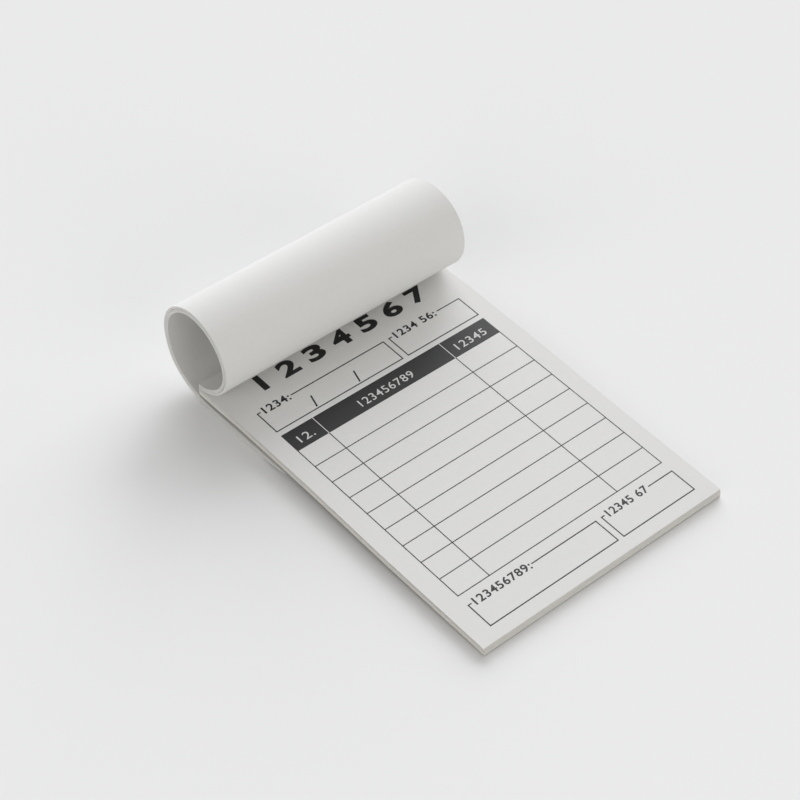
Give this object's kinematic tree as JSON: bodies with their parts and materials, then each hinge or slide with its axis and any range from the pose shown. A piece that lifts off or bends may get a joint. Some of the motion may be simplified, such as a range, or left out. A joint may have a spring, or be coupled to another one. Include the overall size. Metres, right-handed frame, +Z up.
{
  "type": "order pad",
  "caption": "Glued order pad with a ruled form: paper leaves on a backing board, the upper leaves turned back over the bound edge in a roll and tucked underneath.",
  "frame": {"origin": "middle of the ground that the pad covers, on the table", "axes": "+X to the right across the page, +Y from the writer to the bound edge, +Z up"},
  "size_m": [0.11, 0.1694, 0.041],
  "materials": {
    "backing_card": "matt",
    "leaf_paper": "matt",
    "writing_paper": "matt",
    "turned_paper": "matt",
    "padding_glue": "satin"
  },
  "bodies": {
    "pad": {"backing_board": "backing_card", "leaf_01": "leaf_paper", "leaf_02": "leaf_paper", "leaf_03": "leaf_paper", "leaf_04": "leaf_paper", "leaf_05": "leaf_paper", "leaf_06": "leaf_paper", "leaf_07": "leaf_paper", "leaf_08": "leaf_paper", "leaf_09": "leaf_paper", "leaf_10": "leaf_paper", "leaf_11": "leaf_paper", "leaf_12": "leaf_paper", "leaf_13": "leaf_paper", "leaf_14": "leaf_paper", "leaf_15": "leaf_paper", "leaf_16": "leaf_paper", "leaf_17": "leaf_paper", "leaf_18": "leaf_paper", "leaf_19": "leaf_paper", "leaf_20": "leaf_paper", "leaf_21": "leaf_paper", "leaf_22": "leaf_paper", "leaf_23": "leaf_paper", "leaf_24": "leaf_paper", "leaf_25": "leaf_paper", "writing_sheet_bound": "writing_paper", "spine_glue": "padding_glue"},
    "sheet": {"writing_sheet": "writing_paper"},
    "roll_root": {"turned_leaves_root": "turned_paper", "turned_glue": "padding_glue"},
    "roll_front": {"turned_leaves_front": "turned_paper"},
    "roll_crown_front": {"turned_leaves_crown_front": "turned_paper"},
    "roll_crown_rear": {"turned_leaves_crown_rear": "turned_paper"},
    "roll_back": {"turned_leaves_back": "turned_paper"},
    "roll_drop": {"turned_leaves_drop": "turned_paper"},
    "roll_heel": {"turned_leaves_heel": "turned_paper"},
    "roll_tuck": {"turned_leaves_tuck": "turned_paper"},
    "roll_tail": {"turned_leaves_tail": "turned_paper"}
  },
  "joints": [
    {"name": "sheet_lift", "type": "hinge", "parent": "pad", "child": "sheet", "pos_m": [0, 0.04754, 0.00619], "axis": [-1, 0, 0], "range_deg": [0, 88]},
    {"name": "turn_over", "type": "hinge", "parent": "pad", "child": "roll_root", "pos_m": [0, 0.06565, 0.00672], "axis": [-1, 0, 0], "range_deg": [0, 159.5]},
    {"name": "bend_front", "type": "hinge", "parent": "roll_root", "child": "roll_front", "pos_m": [0, 0.05523, 0.01083], "axis": [-1, 0, 0], "range_deg": [-44.5, 0]},
    {"name": "bend_crown_front", "type": "hinge", "parent": "roll_front", "child": "roll_crown_front", "pos_m": [0, 0.04866, 0.02418], "axis": [-1, 0, 0], "range_deg": [-63.5, 0]},
    {"name": "bend_crown_rear", "type": "hinge", "parent": "roll_crown_front", "child": "roll_crown_rear", "pos_m": [0, 0.05889, 0.03947], "axis": [-1, 0, 0], "range_deg": [-66, 0]},
    {"name": "bend_back", "type": "hinge", "parent": "roll_crown_rear", "child": "roll_back", "pos_m": [0, 0.07727, 0.03744], "axis": [-1, 0, 0], "range_deg": [-61, 0]},
    {"name": "bend_drop", "type": "hinge", "parent": "roll_back", "child": "roll_drop", "pos_m": [0, 0.08473, 0.02229], "axis": [-1, 0, 0], "range_deg": [-45, 0]},
    {"name": "bend_heel", "type": "hinge", "parent": "roll_drop", "child": "roll_heel", "pos_m": [0, 0.08151, 0.0109], "axis": [-1, 0, 0], "range_deg": [-31, 0]},
    {"name": "bend_tuck", "type": "hinge", "parent": "roll_heel", "child": "roll_tuck", "pos_m": [0, 0.07569, 0.00483], "axis": [-1, 0, 0], "range_deg": [-33, 0]},
    {"name": "bend_tail", "type": "hinge", "parent": "roll_tuck", "child": "roll_tail", "pos_m": [0, 0.05894, 0], "axis": [-1, 0, 0], "range_deg": [-19, 0]}
  ],
  "couplings": [
    {"joint": "bend_front", "follows": "turn_over", "ratio": -0.2625},
    {"joint": "bend_crown_front", "follows": "turn_over", "ratio": -0.3762},
    {"joint": "bend_crown_rear", "follows": "turn_over", "ratio": -0.3918},
    {"joint": "bend_back", "follows": "turn_over", "ratio": -0.3605},
    {"joint": "bend_drop", "follows": "turn_over", "ratio": -0.2633},
    {"joint": "bend_heel", "follows": "turn_over", "ratio": -0.1755},
    {"joint": "bend_tuck", "follows": "turn_over", "ratio": -0.1887},
    {"joint": "bend_tail", "follows": "turn_over", "ratio": -0.101}
  ]
}
